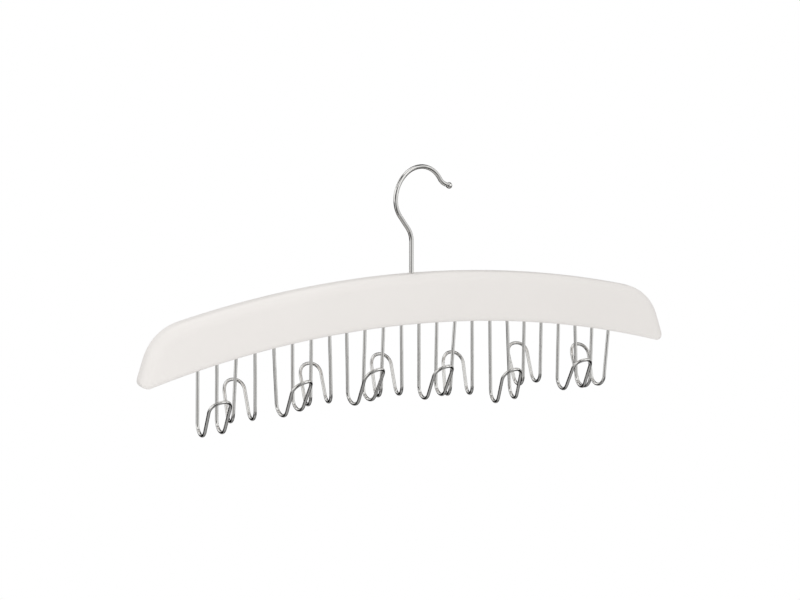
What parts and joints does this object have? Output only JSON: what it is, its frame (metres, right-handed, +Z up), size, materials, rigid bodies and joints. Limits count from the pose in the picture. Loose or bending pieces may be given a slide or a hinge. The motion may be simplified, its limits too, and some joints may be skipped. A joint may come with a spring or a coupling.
{
  "type": "belt hanger",
  "caption": "Arched wooden bar that turns below a steel wardrobe hook, with bent wire belt hooks along its front and back.",
  "frame": {"origin": "on the axis that the bar turns about, at the inside of the hook's loop straight above the shank, where the rail bears when the bar hangs level", "axes": "+Z up along the swivel axis, +X along the bar, -Y towards its front"},
  "size_m": [0.437, 0.0644, 0.1901],
  "materials": {
    "white_lacquer": "warm white satin lacquer on wood",
    "chrome_wire": "bright chromed steel wire",
    "plain_steel": "plain zinced steel"
  },
  "bodies": {
    "hook": {"swivel_hook": "chrome_wire"},
    "hanger": {"bar": "white_lacquer", "hook_washer": "plain_steel", "belt_hook_front_1": "chrome_wire", "belt_hook_back_1": "chrome_wire", "belt_hook_front_2": "chrome_wire", "belt_hook_back_2": "chrome_wire", "belt_hook_front_3": "chrome_wire", "belt_hook_back_3": "chrome_wire", "belt_hook_front_4": "chrome_wire", "belt_hook_back_4": "chrome_wire", "belt_hook_front_5": "chrome_wire", "belt_hook_back_5": "chrome_wire", "belt_hook_front_6": "chrome_wire", "belt_hook_back_6": "chrome_wire"}
  },
  "joints": [
    {"name": "hook_swivel", "type": "hinge", "parent": "hook", "child": "hanger", "pos_m": [0, 0, -0.0773], "axis": [0, 0, 1], "continuous": true}
  ]
}
